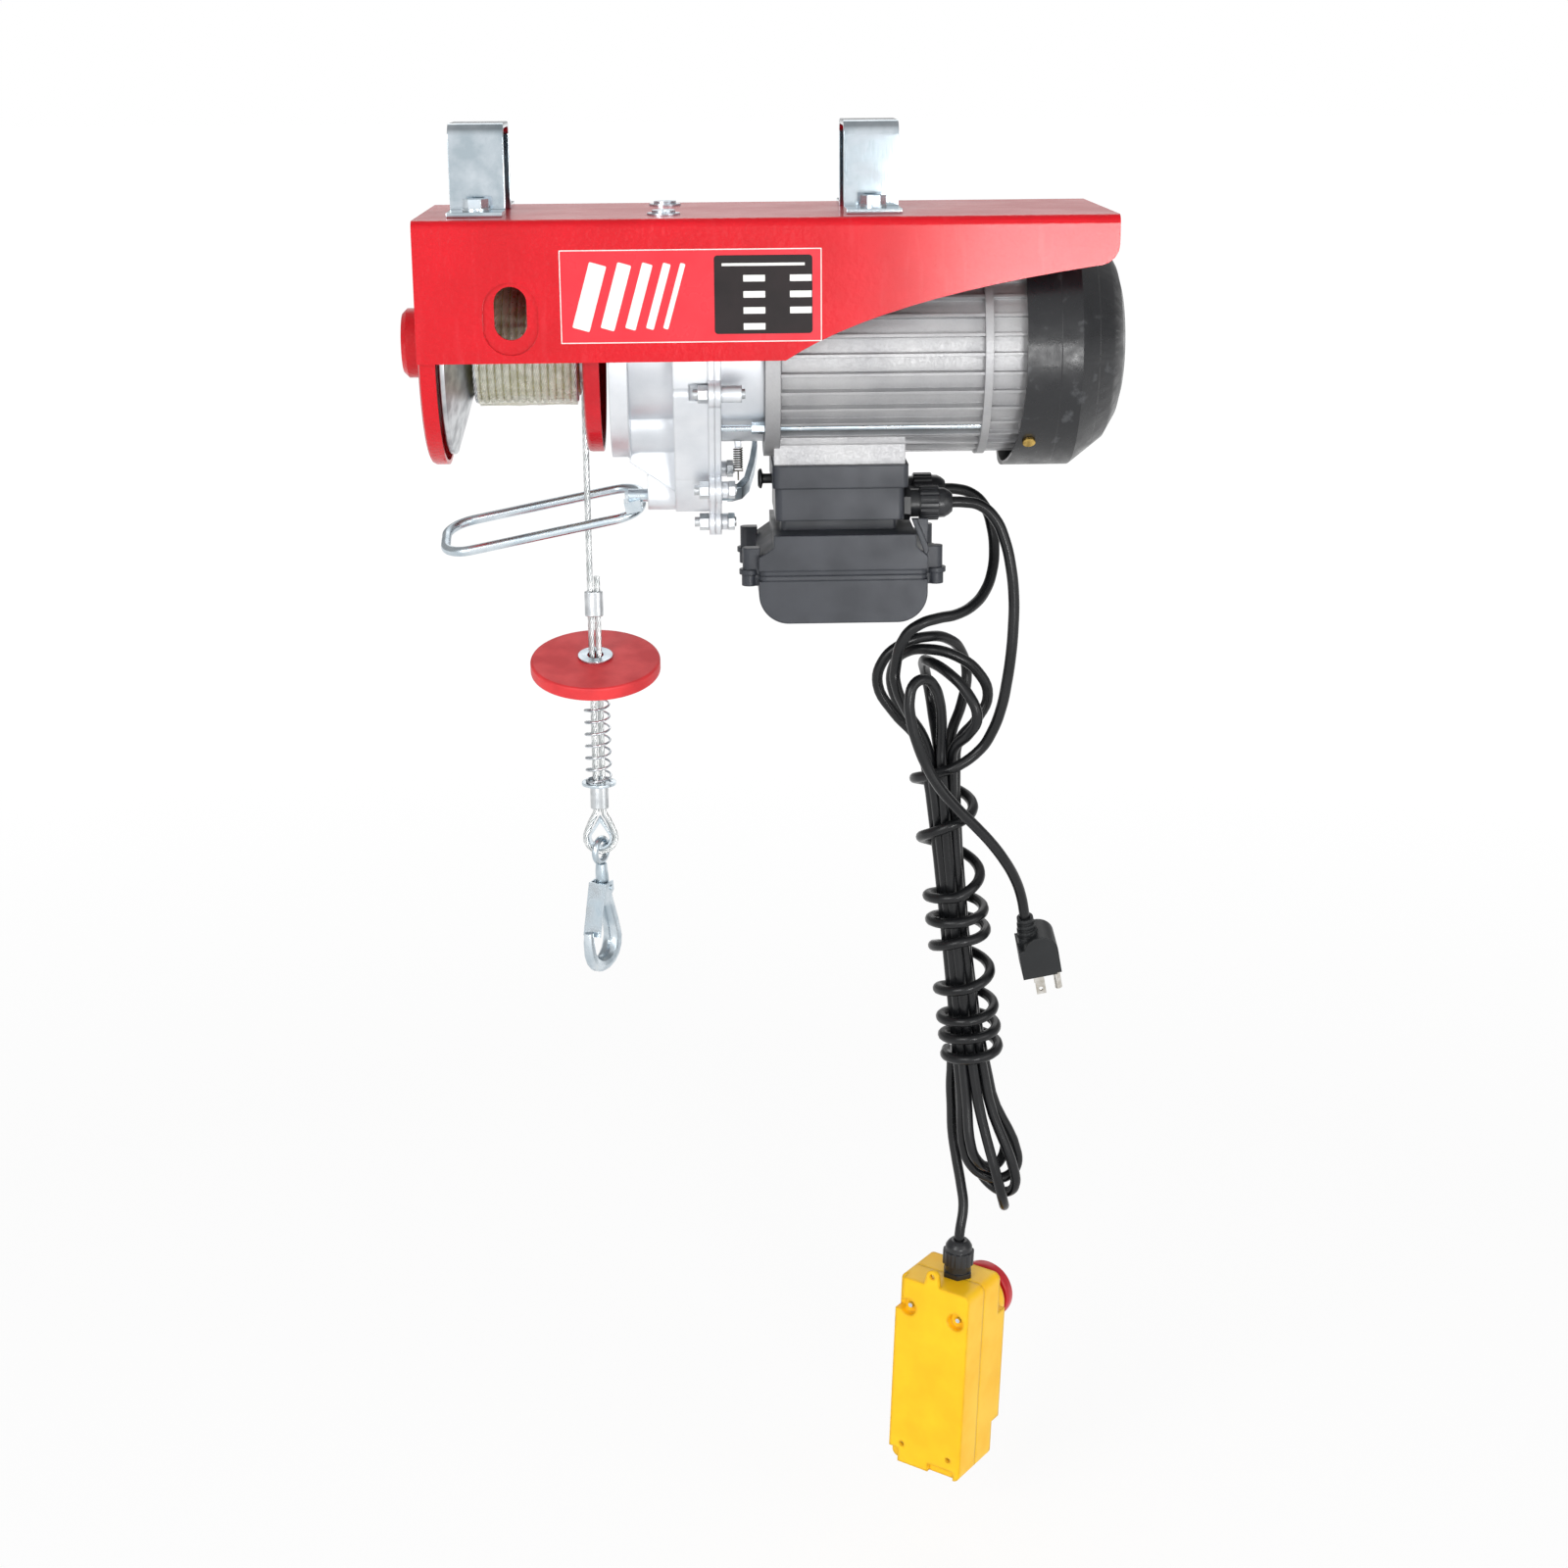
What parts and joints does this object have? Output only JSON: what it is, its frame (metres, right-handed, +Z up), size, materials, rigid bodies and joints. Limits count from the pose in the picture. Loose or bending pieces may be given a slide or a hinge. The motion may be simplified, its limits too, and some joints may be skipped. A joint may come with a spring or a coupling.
{
  "type": "electric wire rope hoist",
  "caption": "Small electric wire rope hoist in a folded steel frame with beam straps, rope drum, geared motor, limit lever, sprung hook block, mains lead and hand control.",
  "frame": {"origin": "centre line of the support beam under the two straps, midway between them", "axes": "+X from the rope drum to the motor, +Y to the back, +Z up"},
  "size_m": [0.426, 0.1522, 0.8868],
  "materials": {
    "red_paint": "gloss powder coat",
    "zinc": "blue-white zinc plate",
    "cast_alloy": "bead-blasted casting",
    "gear_steel": "ground steel",
    "wire_rope": "stranded galvanised wire",
    "black_shell": "satin black",
    "copper_winding": "varnished windings",
    "black_plastic": "moulded",
    "grey_plastic": "moulded",
    "cord_rubber": "satin sheath",
    "yellow_plastic": "moulded",
    "red_plastic": "moulded",
    "green_plastic": "moulded",
    "white_label": "printed film",
    "brass_screw": "yellow zinc",
    "pin_steel": "nickel plate"
  },
  "bodies": {
    "hoist": {"frame": "red_paint", "end_plate": "red_paint", "bracket_left": "zinc", "bracket_right": "zinc", "deck_bolts": "zinc", "label_plate": "white_label", "ball_bearings": "gear_steel", "rope_fall": "wire_rope", "stop_spring": "zinc", "return_spring": "gear_steel", "gearbox_body": "cast_alloy", "gearbox_cover": "cast_alloy", "flange_bolts": "zinc", "motor_housing": "cast_alloy", "stator": "copper_winding", "fan_cover": "black_shell", "tie_rods": "zinc", "case_screws": "brass_screw", "box_cap": "grey_plastic", "box_body": "grey_plastic", "box_lid": "grey_plastic", "capacitor": "black_plastic", "cable_glands": "black_plastic", "power_lead": "cord_rubber", "cord_hank": "cord_rubber", "plug_lead": "cord_rubber", "plug_body": "cord_rubber", "plug_pins": "pin_steel", "pendant_lead": "cord_rubber", "cord_wraps": "cord_rubber", "pendant_drop": "cord_rubber", "handset_back": "yellow_plastic", "handset_front": "yellow_plastic", "handset_gland": "black_plastic", "handset_screws": "zinc"},
    "drum": {"drum_barrel": "zinc", "drum_cup": "red_paint", "rope_winding": "wire_rope", "drum_shaft": "gear_steel", "output_gear": "gear_steel"},
    "hook_line": {"rope_tail": "wire_rope", "crimp_ferrules": "zinc", "lower_washer": "zinc", "rope_eye": "wire_rope", "thimble": "zinc"},
    "disc": {"stop_disc": "red_paint", "stop_washer": "zinc"},
    "hook_body": {"hook": "zinc"},
    "latch": {"hook_latch": "zinc"},
    "lever": {"limit_loop": "zinc", "lever_shaft": "zinc", "switch_arm": "zinc"},
    "plunger": {"limit_button": "black_plastic"},
    "lay_shaft": {"countershaft": "gear_steel"},
    "motor_shaft": {"rotor": "gear_steel", "fan": "black_plastic"},
    "stop_key": {"stop_button": "red_plastic"},
    "up_key": {"up_button": "green_plastic"},
    "down_key": {"down_button": "black_plastic"}
  },
  "joints": [
    {"name": "drum_spin", "type": "hinge", "parent": "hoist", "child": "drum", "pos_m": [0, 0, -0.1], "axis": [1, 0, 0], "range_deg": [-497.73, 99.55]},
    {"name": "hook_lift", "type": "slide", "parent": "hoist", "child": "hook_line", "axis": [0, 0, 1], "range_m": [-0.3, 0.06], "deforming": ["rope_fall"]},
    {"name": "lay_shaft_spin", "type": "hinge", "parent": "hoist", "child": "lay_shaft", "pos_m": [0, 0, -0.143], "axis": [1, 0, 0], "range_deg": [-762.3, 3791.5]},
    {"name": "motor_spin", "type": "hinge", "parent": "hoist", "child": "motor_shaft", "pos_m": [0, 0, -0.103], "axis": [1, 0, 0], "range_deg": [-26525.5, 5321.1]},
    {"name": "disc_push", "type": "slide", "parent": "hook_line", "child": "disc", "axis": [0, 0, 1], "range_m": [-0.045, 0], "stiffness_N_per_m": 1300, "springref_m": 0.006, "deforming": ["stop_spring"]},
    {"name": "hook_swing", "type": "hinge", "parent": "hook_line", "child": "hook_body", "pos_m": [-0.056, 0.0345, -0.42239], "axis": [0, 1, 0], "range_deg": [-15, 15]},
    {"name": "latch_open", "type": "hinge", "parent": "hook_body", "child": "latch", "pos_m": [-0.0553, 0.03582, -0.45499], "axis": [0.8829, -0.4695, 0], "range_deg": [0, 24], "stiffness_Nm_per_rad": 0.02, "springref_deg": -17.19},
    {"name": "limit_lever", "type": "hinge", "parent": "hoist", "child": "lever", "pos_m": [0, 0.01, -0.195], "axis": [1, 0, 0], "range_deg": [0, 15], "stiffness_Nm_per_rad": 0.15, "springref_deg": -11.46},
    {"name": "limit_press", "type": "slide", "parent": "hoist", "child": "plunger", "axis": [1, 0, 0], "range_m": [0, 0.003], "stiffness_N_per_m": 300, "springref_m": -0.003},
    {"name": "stop_press", "type": "slide", "parent": "hoist", "child": "stop_key", "axis": [-0.5736, -0.8192, 0], "range_m": [0, 0.004], "stiffness_N_per_m": 400, "springref_m": -0.003},
    {"name": "up_press", "type": "slide", "parent": "hoist", "child": "up_key", "axis": [-0.5736, -0.8192, 0], "range_m": [0, 0.003], "stiffness_N_per_m": 300, "springref_m": -0.003},
    {"name": "down_press", "type": "slide", "parent": "hoist", "child": "down_key", "axis": [-0.5736, -0.8192, 0], "range_m": [0, 0.003], "stiffness_N_per_m": 300, "springref_m": -0.003}
  ],
  "couplings": [
    {"joint": "hook_lift", "follows": "drum_spin", "m_per_rad": 0.0345},
    {"joint": "lay_shaft_spin", "follows": "drum_spin", "ratio": -7.6},
    {"joint": "motor_spin", "follows": "drum_spin", "ratio": 53.2}
  ]
}
